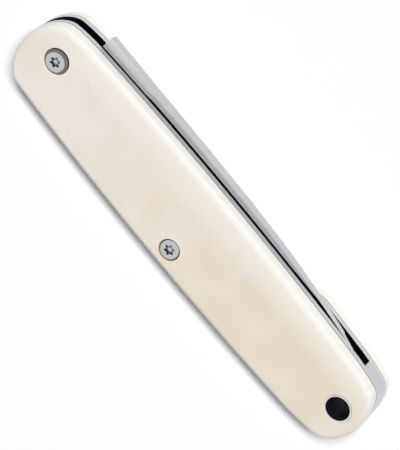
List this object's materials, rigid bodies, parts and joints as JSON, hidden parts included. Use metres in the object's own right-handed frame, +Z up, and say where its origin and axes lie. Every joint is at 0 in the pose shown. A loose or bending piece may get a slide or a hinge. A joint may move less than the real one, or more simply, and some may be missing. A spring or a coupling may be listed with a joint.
{
  "type": "folding pocket knife",
  "caption": "Slip-joint folding pocket knife with smooth bone covers, steel liners, a drop-point blade that folds into the slot, a thumb notch on the far side and a lanyard tube at the butt.",
  "frame": {"origin": "middle of the handle on the outer face of the back cover, the face that the knife lies on", "axes": "+X from the pivot end to the butt, +Y from the back edge to the slot edge, +Z up through the stack to the front cover"},
  "size_m": [0.1032, 0.0227, 0.0119],
  "materials": {
    "bone": "smooth polished bone, creamy white with faint grain",
    "liner_steel": "satin stainless sheet",
    "spring_steel": "satin ground spring steel",
    "blade_steel": "satin blade steel with a finely ground bevel",
    "screw_steel": "bright stainless screws",
    "tube_steel": "polished stainless tube",
    "bronze": "dull phosphor bronze"
  },
  "bodies": {
    "handle": {"front_scale": "bone", "back_scale": "bone", "front_liner": "liner_steel", "back_liner": "liner_steel", "backspring": "spring_steel", "pivot_barrel": "screw_steel", "pivot_screw_front": "screw_steel", "pivot_screw_back": "screw_steel", "washer_front": "bronze", "washer_back": "bronze", "centre_barrel": "screw_steel", "centre_screw_front": "screw_steel", "centre_screw_back": "screw_steel", "lanyard_tube": "tube_steel"},
    "blade": {"blade": "blade_steel"}
  },
  "joints": [
    {"name": "blade_pivot", "type": "hinge", "parent": "handle", "child": "blade", "pos_m": [-0.04355, 0.0016, 0.0056], "axis": [0, 0, 1], "range_deg": [0, 180], "deforming": ["backspring"]}
  ]
}
